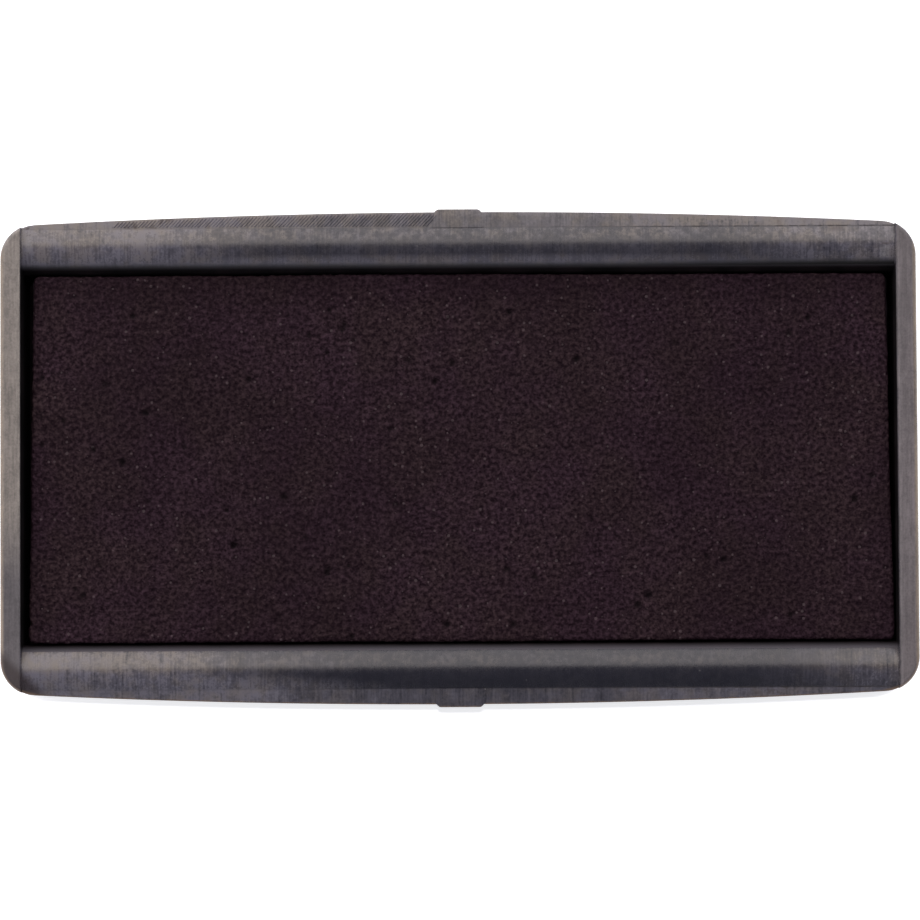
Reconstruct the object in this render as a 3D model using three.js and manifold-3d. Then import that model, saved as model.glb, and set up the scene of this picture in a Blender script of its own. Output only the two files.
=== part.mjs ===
// An ink pad cartridge: a moulded tray that holds an ink-soaked felt block with a foam face.
// Millimetres, X along the length, Y across, Z up. The origin is at the middle of the base.

import * as THREE from 'three';
import { mergeVertices } from 'three/addons/utils/BufferGeometryUtils.js';
import Module from 'manifold-3d';

const wasm = await Module();
wasm.setup();

// Tray, overall
const trayLength = 78;
const trayEndWidth = 40.14; // across the corners, where the bowed sides start
const trayHeight = 9;
const sideBow = 0.93; // how far each long side swells beyond the corners at mid length
const cornerRadius = 3;
const edgeRound = 0.3; // on the outer edges of the base and of the end walls

// Walls and floor
const endWallThickness = 1.75;
const floorThickness = 1.2;
const baseRecess = 1; // depth of the hollow under the floor

// Rails along the long sides
const railSetback = 0.445; // from the line through the corners to the rail's outer edge
const railWidth = 3.8; // from the pocket to the rail's outer edge
const railDrop = 0.5; // crest below the end walls
const railCrownRadius = 2.6;
const railCrestOffset = 0.15; // of the crest, outwards from the middle of the crown
const railLeadWidth = 0.5; // steep lead-in on the pocket side
const railLeadHeight = 0.9;
const shoulderSlope = 8; // degrees, from the rail's outer edge down to the bowed side

// Cores under the rails
const railCoreCount = 6;
const railCoreWall = 1.1;
const railCoreRoof = 1.5; // plastic left between a core and the crest

// Ribs in the hollow under the floor
const baysAlong = 4;
const baysAcross = 2;
const ribThickness = 1;

// Centring nubs on the long sides
const nubWidth = 4.2;
const nubProud = 0.25;
const nubBevel = 0.5;
const nubBottom = 2.5; // height of its lower edge above the base
const nubRoot = 1; // how far it reaches into the side

// Pad stack, from the floor up
const padLeftGap = 0.7;
const padRightGap = 0.4;
const padSideGap = 0.15;
const adhesiveThickness = 0.15;
const adhesiveInset = 1; // from the felt's edge
const foamThickness = 1.1;
const padFaceDrop = 1.2; // face of the foam below the rails' crest
const layerGap = 0.02;
const padCornerRadius = 0.5;
const foamEdgeRound = 0.25;

// Worked out from the above
const halfLength = trayLength / 2;
const halfEndWidth = trayEndWidth / 2;
const pocketHalfLength = halfLength - endWallThickness;
const railOuter = halfEndWidth - railSetback;
const pocketHalfWidth = railOuter - railWidth;
const floorTop = baseRecess + floorThickness;
const crestHeight = trayHeight - railDrop;
const crestY = railOuter - (railWidth - railLeadWidth) / 2 + railCrestOffset;
const crownOuterAngle = Math.asin((railOuter - crestY) / railCrownRadius);
const crownInnerAngle = Math.asin((crestY - pocketHalfWidth - railLeadWidth) / railCrownRadius);
const crownOuterHeight = crestHeight - railCrownRadius * (1 - Math.cos(crownOuterAngle));
const crownInnerHeight = crestHeight - railCrownRadius * (1 - Math.cos(crownInnerAngle));
const padFace = crestHeight - padFaceDrop;
const shoulderFall = Math.tan(THREE.MathUtils.degToRad(shoulderSlope)); // per millimetre outwards

const overrun = 2; // how far a cutting solid reaches past what it cuts
const arcSteps = 10;

// Frames that turn an extrusion's own Z to the object's X or Y
const alongX = new THREE.Matrix4().makeBasis(
	new THREE.Vector3(0, 1, 0),
	new THREE.Vector3(0, 0, 1),
	new THREE.Vector3(1, 0, 0)
);
const alongY = new THREE.Matrix4().makeBasis(
	new THREE.Vector3(0, 0, 1),
	new THREE.Vector3(1, 0, 0),
	new THREE.Vector3(0, 1, 0)
);

function toSolid(geometry) {
	geometry.deleteAttribute('normal');
	geometry.deleteAttribute('uv');
	const merged = mergeVertices(geometry, 1e-5);
	return new wasm.Manifold(new wasm.Mesh({
		numProp: 3,
		vertProperties: new Float32Array(merged.attributes.position.array),
		triVerts: new Uint32Array(merged.index.array)
	}));
}

function toGeometry(solid) {
	const mesh = solid.getMesh();
	const geometry = new THREE.BufferGeometry();
	geometry.setAttribute('position', new THREE.BufferAttribute(mesh.vertProperties, mesh.numProp));
	geometry.setIndex(new THREE.BufferAttribute(mesh.triVerts, 1));
	geometry.computeVertexNormals();
	return geometry;
}

// A straight extrusion from z = low to z = high, with its outer edges rounded off by round
function extrudeUp(shape, low, high, round = 0) {
	const geometry = new THREE.ExtrudeGeometry(shape, {
		depth: high - low - 2 * round,
		curveSegments: arcSteps,
		bevelEnabled: round > 0,
		bevelThickness: round,
		bevelSize: round,
		bevelOffset: -round,
		bevelSegments: 3
	});
	return geometry.translate(0, 0, low + round);
}

// A prism of the given section, centred on the origin along the frame's own axis
function prism(shape, length, frame) {
	const geometry = new THREE.ExtrudeGeometry(shape, { depth: length, bevelEnabled: false });
	return geometry.translate(0, 0, -length / 2).applyMatrix4(frame);
}

function block(lowX, highX, lowY, highY, lowZ, highZ) {
	const geometry = new THREE.BoxGeometry(highX - lowX, highY - lowY, highZ - lowZ);
	return geometry.translate((lowX + highX) / 2, (lowY + highY) / 2, (lowZ + highZ) / 2);
}

// The tray from above: straight ends, round corners, long sides bowed as circular arcs
function trayOutline() {
	const x = halfLength - cornerRadius;
	const y = halfEndWidth - cornerRadius;
	const bowRadius = (x * x + sideBow * sideBow) / (2 * sideBow);
	const bowCentre = halfEndWidth + sideBow - bowRadius;
	const bowAngle = Math.asin(x / bowRadius);
	const up = Math.PI / 2;
	const shape = new THREE.Shape();
	shape.moveTo(halfLength, -y);
	shape.lineTo(halfLength, y);
	shape.absarc(x, y, cornerRadius, 0, up);
	appendArc(shape, 0, bowCentre, bowRadius, up - bowAngle, up + bowAngle, 4 * arcSteps);
	shape.absarc(-x, y, cornerRadius, up, 2 * up);
	shape.lineTo(-halfLength, -y);
	shape.absarc(-x, -y, cornerRadius, 2 * up, 3 * up);
	appendArc(shape, 0, -bowCentre, bowRadius, 3 * up - bowAngle, 3 * up + bowAngle, 4 * arcSteps);
	shape.absarc(x, -y, cornerRadius, 3 * up, 4 * up);
	return shape;
}

function appendArc(shape, centreX, centreY, radius, start, end, steps) {
	for (let i = 1; i < steps; i++) {
		const angle = start + (end - start) * i / steps;
		shape.lineTo(centreX + radius * Math.cos(angle), centreY + radius * Math.sin(angle));
	}
}

// One rail's surface in section, as points (y, z) from the shoulder's outer end to the floor
function railSection() {
	const centreZ = crestHeight - railCrownRadius;
	const shoulderReach = sideBow + railSetback + overrun;
	const points = [[railOuter + shoulderReach, crownOuterHeight - shoulderReach * shoulderFall]];
	for (let i = 0; i <= 2 * arcSteps; i++) {
		const angle = crownOuterAngle - (crownOuterAngle + crownInnerAngle) * i / (2 * arcSteps);
		points.push([crestY + railCrownRadius * Math.sin(angle), centreZ + railCrownRadius * Math.cos(angle)]);
	}
	points.push([pocketHalfWidth, crownInnerHeight - railLeadHeight]);
	points.push([pocketHalfWidth, floorTop]);
	return points;
}

// All that is open above the floor and the rails, between the end walls
function openingAbove() {
	const sky = trayHeight + overrun;
	const right = railSection();
	right.unshift([right[0][0], sky]);
	const left = right.map(([y, z]) => [-y, z]);
	const outline = [...left, ...right.reverse()];
	const shape = new THREE.Shape(outline.map(([y, z]) => new THREE.Vector2(y, z)));
	return prism(shape, 2 * pocketHalfLength, alongX);
}

// Rounds the end walls' inner upper edges
function endWallEdgeCutters() {
	return [-1, 1].map((side) => {
		const shape = new THREE.Shape();
		const x = side * pocketHalfLength;
		shape.moveTo(trayHeight - edgeRound, x);
		shape.lineTo(trayHeight, x + side * edgeRound);
		shape.lineTo(trayHeight + overrun, x);
		return prism(shape, 2 * (halfEndWidth + overrun), alongY);
	});
}

// The hollows under the floor, which leave ribs between them
function baseBays() {
	const bayLength = (2 * pocketHalfLength - (baysAlong - 1) * ribThickness) / baysAlong;
	const bayWidth = (2 * pocketHalfWidth - (baysAcross - 1) * ribThickness) / baysAcross;
	const bays = [];
	for (let i = 0; i < baysAlong; i++) {
		for (let j = 0; j < baysAcross; j++) {
			const x = -pocketHalfLength + i * (bayLength + ribThickness);
			const y = -pocketHalfWidth + j * (bayWidth + ribThickness);
			bays.push(block(x, x + bayLength, y, y + bayWidth, -overrun, baseRecess));
		}
	}
	return bays;
}

// The slots that core out the rails from below
function railCores() {
	const coreLength = (2 * pocketHalfLength - (railCoreCount - 1) * railCoreWall) / railCoreCount;
	const low = pocketHalfWidth + railCoreWall;
	const high = railOuter - railCoreWall;
	const cores = [];
	for (let i = 0; i < railCoreCount; i++) {
		const x = -pocketHalfLength + i * (coreLength + railCoreWall);
		cores.push(block(x, x + coreLength, low, high, -overrun, crestHeight - railCoreRoof));
		cores.push(block(x, x + coreLength, -high, -low, -overrun, crestHeight - railCoreRoof));
	}
	return cores;
}

// A nub on each long side, bevelled at its ends and sloped at the top as the shoulder is
function sideNubs() {
	const tip = halfEndWidth + sideBow + nubProud;
	const root = halfEndWidth + sideBow - nubRoot;
	const clear = tip + overrun;
	return [-1, 1].map((side) => {
		const plan = new THREE.Shape();
		plan.moveTo(-side * nubWidth / 2, side * root);
		plan.lineTo(side * nubWidth / 2, side * root);
		plan.lineTo(side * (nubWidth / 2 - nubBevel), side * tip);
		plan.lineTo(-side * (nubWidth / 2 - nubBevel), side * tip);
		const body = toSolid(extrudeUp(plan, nubBottom, crownOuterHeight));
		const top = new THREE.Shape();
		top.moveTo(side * railOuter, crownOuterHeight);
		top.lineTo(side * clear, crownOuterHeight - (clear - railOuter) * shoulderFall);
		top.lineTo(side * clear, crownOuterHeight + overrun);
		return body.subtract(toSolid(prism(top, nubWidth + overrun, alongX)));
	});
}

function buildTray() {
	let solid = toSolid(extrudeUp(trayOutline(), 0, trayHeight, edgeRound));
	const cutters = [openingAbove(), ...endWallEdgeCutters(), ...baseBays(), ...railCores()];
	for (const cutter of cutters) {
		solid = solid.subtract(toSolid(cutter));
	}
	for (const nub of sideNubs()) {
		solid = solid.add(nub);
	}
	return toGeometry(solid);
}

// A rounded rectangle in the pocket, set in from the pad's edge
function padPlan(inset) {
	const left = -pocketHalfLength + padLeftGap + inset;
	const right = pocketHalfLength - padRightGap - inset;
	const y = pocketHalfWidth - padSideGap - inset;
	const up = Math.PI / 2;
	const r = padCornerRadius;
	const shape = new THREE.Shape();
	shape.moveTo(right, y - r);
	shape.absarc(right - r, y - r, r, 0, up);
	shape.absarc(left + r, y - r, r, up, 2 * up);
	shape.absarc(left + r, -y + r, r, 2 * up, 3 * up);
	shape.absarc(right - r, -y + r, r, 3 * up, 4 * up);
	return shape;
}

function buildAdhesive() {
	const low = floorTop + layerGap;
	return extrudeUp(padPlan(adhesiveInset), low, low + adhesiveThickness);
}

function buildFelt() {
	const low = floorTop + adhesiveThickness + 2 * layerGap;
	return extrudeUp(padPlan(0), low, padFace - foamThickness - layerGap);
}

function buildFoam() {
	return extrudeUp(padPlan(0), padFace - foamThickness, padFace, foamEdgeRound);
}

function part(name, geometry, color, roughness) {
	const mesh = new THREE.Mesh(geometry, new THREE.MeshStandardMaterial({ color, roughness, metalness: 0 }));
	mesh.name = name;
	return mesh;
}

const inkPad = new THREE.Group();
inkPad.add(part('tray', buildTray(), 0x524e52, 0.42));
inkPad.add(part('adhesive_sheet', buildAdhesive(), 0xd8d2bc, 0.5));
inkPad.add(part('reservoir_felt', buildFelt(), 0x2b2530, 0.95));
inkPad.add(part('inking_foam', buildFoam(), 0x261b21, 0.9));

export default inkPad;
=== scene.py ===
import math

import bmesh
import bpy
from mathutils import Matrix, Vector


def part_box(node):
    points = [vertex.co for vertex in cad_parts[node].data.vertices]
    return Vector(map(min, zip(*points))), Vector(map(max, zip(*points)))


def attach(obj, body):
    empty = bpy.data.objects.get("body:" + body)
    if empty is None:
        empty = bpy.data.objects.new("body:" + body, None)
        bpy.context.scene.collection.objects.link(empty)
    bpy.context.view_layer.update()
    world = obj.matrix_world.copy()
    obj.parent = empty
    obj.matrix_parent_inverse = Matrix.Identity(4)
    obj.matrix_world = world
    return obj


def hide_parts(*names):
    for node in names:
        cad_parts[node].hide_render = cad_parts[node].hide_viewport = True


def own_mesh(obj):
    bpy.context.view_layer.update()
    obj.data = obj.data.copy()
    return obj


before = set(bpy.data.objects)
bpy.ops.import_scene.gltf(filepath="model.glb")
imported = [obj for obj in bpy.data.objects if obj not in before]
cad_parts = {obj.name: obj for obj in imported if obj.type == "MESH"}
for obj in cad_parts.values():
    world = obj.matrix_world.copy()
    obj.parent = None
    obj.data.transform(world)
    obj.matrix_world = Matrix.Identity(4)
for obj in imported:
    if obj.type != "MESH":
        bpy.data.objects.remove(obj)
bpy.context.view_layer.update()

mm = 0.001

# Places that every piece is built from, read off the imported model
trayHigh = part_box("tray")[1]
foamLow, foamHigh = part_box("inking_foam")
feltLow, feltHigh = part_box("reservoir_felt")


# Closes two rings of vertices into a prism
def closePrism(bm, near, far):
    bm.faces.new(near)
    bm.faces.new(list(reversed(far)))
    for i in range(len(near)):
        j = (i + 1) % len(near)
        bm.faces.new((near[i], far[i], far[j], near[j]))


def newObject(name, mesh):
    made = bpy.data.objects.new(name, mesh)
    bpy.context.scene.collection.objects.link(made)
    return made


def finishMesh(bm, name):
    bmesh.ops.recalc_face_normals(bm, faces=bm.faces)
    mesh = bpy.data.meshes.new(name)
    bm.to_mesh(mesh)
    bm.free()
    return mesh


def bakeModifiers(thing):
    depsgraph = bpy.context.evaluated_depsgraph_get()
    evaluated = thing.evaluated_get(depsgraph)
    return bpy.data.meshes.new_from_object(evaluated, preserve_all_data_layers=True, depsgraph=depsgraph)


def carve(target, cutter, operation="DIFFERENCE"):
    modifier = target.modifiers.new("carve", "BOOLEAN")
    modifier.operation = operation
    modifier.solver = "EXACT"
    modifier.object = cutter
    result = bakeModifiers(target)
    target.modifiers.remove(modifier)
    target.data = result
    bpy.data.objects.remove(cutter)


def smoothByAngle(thing, degrees):
    mesh = thing.data
    mesh.polygons.foreach_set("use_smooth", [True] * len(mesh.polygons))
    mesh.set_sharp_from_angle(angle=math.radians(degrees))


# Adds a node; values are sockets to link from or plain defaults
def place(tree, kind, values=None, **settings):
    node = tree.nodes.new(kind)
    for name, value in settings.items():
        setattr(node, name, value)
    for key, value in (values or {}).items():
        if isinstance(value, bpy.types.NodeSocket):
            tree.links.new(value, node.inputs[key])
        else:
            node.inputs[key].default_value = value
    return node


# Adds a node to the tree that its sockets belong to
def join(kind, values, **settings):
    tree = next(value.id_data for value in values.values() if isinstance(value, bpy.types.NodeSocket))
    return place(tree, kind, values, **settings)


def calc(operation, *values, clamp=False):
    return join("ShaderNodeMath", dict(enumerate(values)), operation=operation, use_clamp=clamp).outputs[0]


def chained(operation, values):
    result = values[0]
    for value in values[1:]:
        result = calc(operation, result, value)
    return result


def times(*values):
    return chained("MULTIPLY", values)


def plus(*values):
    return chained("ADD", values)


def minus(first, second):
    return calc("SUBTRACT", first, second)


def larger(first, second):
    return calc("MAXIMUM", first, second)


def blend(share, first, second):
    return join("ShaderNodeMix", {0: share, 2: first, 3: second}, data_type="FLOAT").outputs[0]


def vector(x=0.0, y=0.0, z=0.0):
    return join("ShaderNodeCombineXYZ", {0: x, 1: y, 2: z}).outputs[0]


def axesOf(value):
    return join("ShaderNodeSeparateXYZ", {0: value}).outputs


def ramp(value, low, high, toLow=0.0, toHigh=1.0, smooth=True):
    values = {"Value": value, "From Min": low, "From Max": high, "To Min": toLow, "To Max": toHigh}
    kind = "SMOOTHSTEP" if smooth else "LINEAR"
    return join("ShaderNodeMapRange", values, interpolation_type=kind).outputs["Result"]


# Inputs are names with their defaults, or with a socket type where nothing is set
def newTree(name, kind, inputs, outputs):
    tree = bpy.data.node_groups.new(name, kind)
    for label, value in inputs.items():
        bare = isinstance(value, str)
        socketType = value if bare else "NodeSocketInt" if isinstance(value, int) else "NodeSocketFloat"
        socket = tree.interface.new_socket(name=label, in_out="INPUT", socket_type=socketType)
        if not bare:
            socket.default_value = value
    for label, socketType in outputs.items():
        tree.interface.new_socket(name=label, in_out="OUTPUT", socket_type=socketType)
    return tree, tree.nodes.new("NodeGroupInput").outputs, tree.nodes.new("NodeGroupOutput").inputs


def geometryTree(name, inputs):
    allInputs = {"Geometry": "NodeSocketGeometry", **inputs, "Material": "NodeSocketMaterial"}
    return newTree(name, "GeometryNodeTree", allInputs, {"Geometry": "NodeSocketGeometry"})


# Realize Instances and Set Material close every tree
def closeTree(tree, source, result, geometry):
    real = place(tree, "GeometryNodeRealizeInstances", {"Geometry": geometry})
    painted = place(tree, "GeometryNodeSetMaterial", {"Geometry": real.outputs[0], "Material": source["Material"]})
    tree.links.new(painted.outputs[0], result["Geometry"])


# Sizes in mm, under the names of a tree's inputs: "Pit Depth" is the entry pitDepth
def inMetres(sizes, *labels):
    return {label: sizes[label[0].lower() + label[1:].replace(" ", "")] * mm for label in labels}


def runTree(thing, tree, values):
    modifier = thing.modifiers.new(tree.name, "NODES")
    modifier.node_group = tree
    for item in tree.interface.items_tree:
        if item.in_out == "INPUT" and item.name in values:
            modifier[item.identifier] = values[item.name]
    result = bakeModifiers(thing)
    thing.modifiers.remove(modifier)
    return result


# Camera, lights, floor and room
view = dict(
    distance=0.3, tilt=2.1, roll=0.3, visibleWidth=78.1 * mm, offsetX=0.08 * mm, offsetY=-0.09 * mm,
    sensor=36, nearest=0.01, farthest=20,
)

studio = dict(
    keyPower=11.8, keyDistance=0.8, keyLean=46.0, keySideways=-7.0, keyWidth=1.7, keyHeight=1.08,
    keyColour=(1.0, 0.94, 0.93), sidePower=0.8, sideSize=0.35,
    sidePlace=(-0.62, -0.1, 0.42), sideColour=(1.0, 0.97, 0.94), floorDrop=0.05 * mm,
    floorSize=3.0, floorColour=(0.86, 0.87, 0.90), floorGlow=0.62,
    horizon=0.9, overhead=0.26, skyBand=(0.03, 0.33), underGlow=1.5, underBand=(-0.1, -0.4),
    roomColour=(0.86, 0.89, 1.0),
    lampStrength=0.95, lampLean=5.4, lampSpread=1.4, lampColour=(1.0, 0.97, 0.95),
)


def buildCamera():
    camera = bpy.data.objects.new("camera", bpy.data.cameras.new("camera"))
    bpy.context.scene.collection.objects.link(camera)
    target = Vector((view["offsetX"], view["offsetY"], trayHigh.z / 2))
    tilt, roll = math.radians(view["tilt"]), math.radians(view["roll"])
    away = Vector((0, -math.sin(tilt), math.cos(tilt)))
    upward = Vector((0, math.cos(tilt), math.sin(tilt)))
    right = Vector((1, 0, 0))
    turned = Matrix.Rotation(-roll, 3, away)
    axes = Matrix((turned @ right, turned @ upward, away)).transposed()
    camera.matrix_world = Matrix.Translation(target + away * view["distance"]) @ axes.to_4x4()
    camera.data.sensor_width = view["sensor"]
    reach = view["distance"] - trayHigh.z / 2
    camera.data.lens = camera.data.sensor_width * reach / view["visibleWidth"]
    camera.data.clip_start = view["nearest"]
    camera.data.clip_end = view["farthest"]
    bpy.context.scene.camera = camera


def buildLight(name, power, width, height, position, colour):
    data = bpy.data.lights.new(name, "AREA")
    data.shape = "RECTANGLE"
    data.size = width
    data.size_y = height
    data.energy = power
    data.color = colour
    light = bpy.data.objects.new(name, data)
    light.visible_camera = False
    light.location = position
    light.rotation_euler = (Vector((0, 0, 0)) - light.location).to_track_quat("-Z", "Y").to_euler()
    bpy.context.scene.collection.objects.link(light)


def buildStudio():
    lean, sideways = math.radians(studio["keyLean"]), math.radians(studio["keySideways"])
    direction = Vector((math.sin(sideways), math.sin(lean), math.cos(lean))).normalized()
    buildLight("keyBox", studio["keyPower"], studio["keyWidth"], studio["keyHeight"],
               direction * studio["keyDistance"], studio["keyColour"])
    buildLight("leftFill", studio["sidePower"], studio["sideSize"], studio["sideSize"],
               Vector(studio["sidePlace"]), studio["sideColour"])

    lamp = bpy.data.objects.new("ceilingLamp", bpy.data.lights.new("ceilingLamp", "SUN"))
    lamp.data.energy = studio["lampStrength"]
    lamp.data.angle = math.radians(studio["lampSpread"])
    lamp.data.color = studio["lampColour"]
    lamp.rotation_euler.x = -math.radians(studio["lampLean"])
    lamp.visible_glossy = False
    bpy.context.scene.collection.objects.link(lamp)

    floor = newObject("studioFloor", bpy.data.meshes.new("studioFloor"))
    bm = bmesh.new()
    bmesh.ops.create_circle(bm, cap_ends=True, segments=96, radius=studio["floorSize"])
    bm.to_mesh(floor.data)
    bm.free()
    floor.location.z = -studio["floorDrop"]
    paper = bpy.data.materials.new("studioPaper")
    paper.use_nodes = True
    tree = paper.node_tree
    tree.nodes.clear()
    white = place(tree, "ShaderNodeBsdfDiffuse", {"Color": (*studio["floorColour"], 1)})
    glow = place(tree, "ShaderNodeEmission", {"Color": (1, 1, 1, 1), "Strength": studio["floorGlow"]})
    both = place(tree, "ShaderNodeAddShader", {0: white.outputs[0], 1: glow.outputs[0]})
    clear = place(tree, "ShaderNodeBsdfTransparent")
    side = place(tree, "ShaderNodeNewGeometry")
    pick = place(tree, "ShaderNodeMixShader", {0: side.outputs["Backfacing"], 1: both.outputs[0], 2: clear.outputs[0]})
    place(tree, "ShaderNodeOutputMaterial", {"Surface": pick.outputs[0]})
    floor.data.materials.append(paper)

    world = bpy.data.worlds.new("studioRoom")
    world.use_nodes = True
    tree = world.node_tree
    tree.nodes.clear()
    coords = place(tree, "ShaderNodeTexCoord")
    height = axesOf(coords.outputs["Generated"])["Z"]
    above = ramp(height, *studio["skyBand"], studio["horizon"], studio["overhead"])
    below = ramp(height, *studio["underBand"], 0.0, studio["underGlow"])
    strength = plus(above, below)
    room = place(tree, "ShaderNodeBackground", {"Color": (*studio["roomColour"], 1), "Strength": strength})
    place(tree, "ShaderNodeOutputWorld", {"Surface": room.outputs[0]})
    bpy.context.scene.world = world
    bpy.context.scene.view_settings.view_transform = "Standard"


buildCamera()
buildStudio()
print("camera and studio are set")


def shaderGroup(name, inputs, outputs):
    return newTree(name, "ShaderNodeTree", inputs, outputs)


# Soft uneven patches, from 0 to 1
def buildPatches():
    inputs = {"Vector": "NodeSocketVector", "Size": 10.0, "Low": 0.4, "High": 0.6, "Shift": 0.0}
    tree, source, result = shaderGroup("patches", inputs, {"Mask": "NodeSocketFloat"})
    scale = calc("DIVIDE", 1.0, source["Size"])
    noise = place(tree, "ShaderNodeTexNoise", {"Vector": source["Vector"], "W": source["Shift"], "Scale": scale,
                                               "Detail": 4.0, "Roughness": 0.6}, noise_dimensions="4D")
    mask = ramp(noise.outputs["Fac"], source["Low"], source["High"])
    tree.links.new(mask, result["Mask"])
    return tree


# Fine parallel lines that run along Y
def buildStreaks():
    inputs = {"Vector": "NodeSocketVector", "Pitch": 0.3, "Length": 6.0, "Shift": 0.0}
    tree, source, result = shaderGroup("streaks", inputs, {"Value": "NodeSocketFloat"})
    x, y, z = axesOf(source["Vector"])
    across = calc("DIVIDE", x, source["Pitch"])
    along = calc("DIVIDE", y, source["Length"])
    up = calc("DIVIDE", z, source["Length"])
    stretched = vector(across, along, up)
    noise = place(tree, "ShaderNodeTexNoise", {"Vector": stretched, "W": source["Shift"], "Scale": 1.0,
                                               "Detail": 3.0, "Roughness": 0.55}, noise_dimensions="4D")
    tree.links.new(noise.outputs["Fac"], result["Value"])
    return tree


# Small round-ish spots where the value passes a threshold
def buildSpecks():
    inputs = {"Vector": "NodeSocketVector", "Size": 1.0, "Share": 0.2, "Radius": 0.2}
    tree, source, result = shaderGroup("specks", inputs, {"Mask": "NodeSocketFloat"})
    scale = calc("DIVIDE", 1.0, source["Size"])
    cells = place(tree, "ShaderNodeTexVoronoi", {"Vector": source["Vector"], "Scale": scale})
    chance = place(tree, "ShaderNodeSeparateColor", {0: cells.outputs["Color"]})
    chosen = calc("LESS_THAN", chance.outputs[0], source["Share"])
    ownRadius = times(source["Radius"], plus(chance.outputs[1], 0.3))
    near = minus(ownRadius, cells.outputs["Distance"])
    soft = ramp(near, 0.0, 0.06)
    tree.links.new(times(soft, chosen), result["Mask"])
    return tree


patches = buildPatches()
streaks = buildStreaks()
specks = buildSpecks()


def useGroup(group, where, **values):
    return join("ShaderNodeGroup", {"Vector": where, **values}, node_tree=group).outputs[0]


def newMaterial(name, roughness, specular):
    material = bpy.data.materials.new(name)
    material.use_nodes = True
    tree = material.node_tree
    tree.nodes.clear()
    shader = place(tree, "ShaderNodeBsdfPrincipled", {"Roughness": roughness, "Specular IOR Level": specular})
    place(tree, "ShaderNodeOutputMaterial", {"Surface": shader.outputs[0]})
    coords = place(tree, "ShaderNodeTexCoord")
    inMillimetres = place(tree, "ShaderNodeMapping", {"Vector": coords.outputs["Object"], "Scale": (1000, 1000, 1000)})
    return material, tree, shader, inMillimetres.outputs[0]


def mixColour(share, first, second):
    values = {0: share, 6: first, 7: second}
    for key in (6, 7):
        if not isinstance(values[key], bpy.types.NodeSocket):
            values[key] = (*values[key], 1)
    return join("ShaderNodeMix", values, data_type="RGBA").outputs[2]


# Gives a shader its colour, its roughness and a bump of a depth in mm
def dress(tree, shader, tone, rough, height, depth):
    raised = place(tree, "ShaderNodeBump", {"Height": height, "Distance": depth * mm})
    for label, value in (("Base Color", tone), ("Roughness", rough), ("Normal", raised.outputs[0])):
        tree.links.new(value, shader.inputs[label])


# Sizes of the tray, in mm
tray = dict(
    endWidth=40.14, sideBow=0.93, cornerRadius=3.0, baseRound=0.3, topRound=0.4, wall=1.75, floorTop=2.2,
    railOuter=19.625, railWidth=3.8, railDrop=0.5, crownRadius=2.6, crestOffset=0.15, leadWidth=0.5, leadHeight=0.9,
    shoulderSlope=8.0, shoulderRound=0.14, innerRoundLeft=0.14, innerRoundRight=0.36,
    coreCount=6, coreWall=1.1, coreTop=7.0, bayCount=(4, 2), bayRib=1.0, bayTop=1.0,
    nubWidth=4.4, nubBevel=0.42, nubRoot=1.62, nubBottom=2.5, nubLift=0.05, nubRound=0.14,
    leadRoundUpper=0.3, leadRoundLower=0.04, grooveWidth=0.07, grooveDepth=0.06,
    creaseLap=0.06, creaseTurn=1.2, leadSteepness=72, leadPull=0.5, leadFoot=0.3, sharpAngle=33,
)

halfLength = trayHigh.x / mm
trayTop = trayHigh.z / mm
innerHalf = halfLength - tray["wall"]
halfEnd = tray["endWidth"] / 2
railOuter = tray["railOuter"]
railInner = railOuter - tray["railWidth"]
crest = trayTop - tray["railDrop"]
crestY = railOuter - (tray["railWidth"] - tray["leadWidth"]) / 2 + tray["crestOffset"]
outerAngle = math.asin((railOuter - crestY) / tray["crownRadius"])
innerAngle = math.asin((crestY - railInner - tray["leadWidth"]) / tray["crownRadius"])
creaseZ = crest - tray["crownRadius"] * (1 - math.cos(outerAngle))
leadTop = crest - tray["crownRadius"] * (1 - math.cos(innerAngle))
cornerX = halfLength - tray["cornerRadius"]
bowRadius = (cornerX ** 2 + tray["sideBow"] ** 2) / (2 * tray["sideBow"])
bowCentre = halfEnd + tray["sideBow"] - bowRadius
cornerY = bowCentre + math.sqrt((bowRadius - tray["cornerRadius"]) ** 2 - cornerX ** 2)
sideY = halfEnd + tray["sideBow"]
slope = math.tan(math.radians(tray["shoulderSlope"]))


# Colours and roughness of the tray's plastic
plastic = dict(
    base=(0.0066, 0.0060, 0.0112), haze=(0.114, 0.096, 0.085), coolHaze=(0.096, 0.090, 0.112),
    litLeftEnd=(0.150, 0.131, 0.118), leftEndBase=(0.066, 0.059, 0.063), rightEndBase=(0.094, 0.081, 0.085),
    wornEdge=(0.24, 0.19, 0.13), brownEdge=(0.13, 0.085, 0.055), paleMark=(0.135, 0.127, 0.134),
    inkBrown=(0.022, 0.013, 0.013), inkLine=(0.010, 0.007, 0.008), dust=(0.22, 0.21, 0.21),
    pocketInkAndShade=(0.0018, 0.0012, 0.0016), pocketStain=(0.006, 0.0035, 0.0045), pocketRim=(0.098, 0.090, 0.104),
    smooth=0.21, rough=0.33, shoulderRough=0.42, endRough=0.45, cakedRough=0.9, specular=0.55,
    soakedRough=0.8, soakedSpecular=0.12, bumpDepth=0.008, soakedBumpDepth=0.02,
)

# How much each noise layer counts
frayShares = dict(fine=0.42, wide=0.3, cloud=0.2, mottle=0.25, grain=0.3)
bumpShares = dict(fine=0.3, wide=0.5, mottle=0.45, grain=0.25)
blotchShares = dict(mottle=0.4, grain=0.6)
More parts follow.
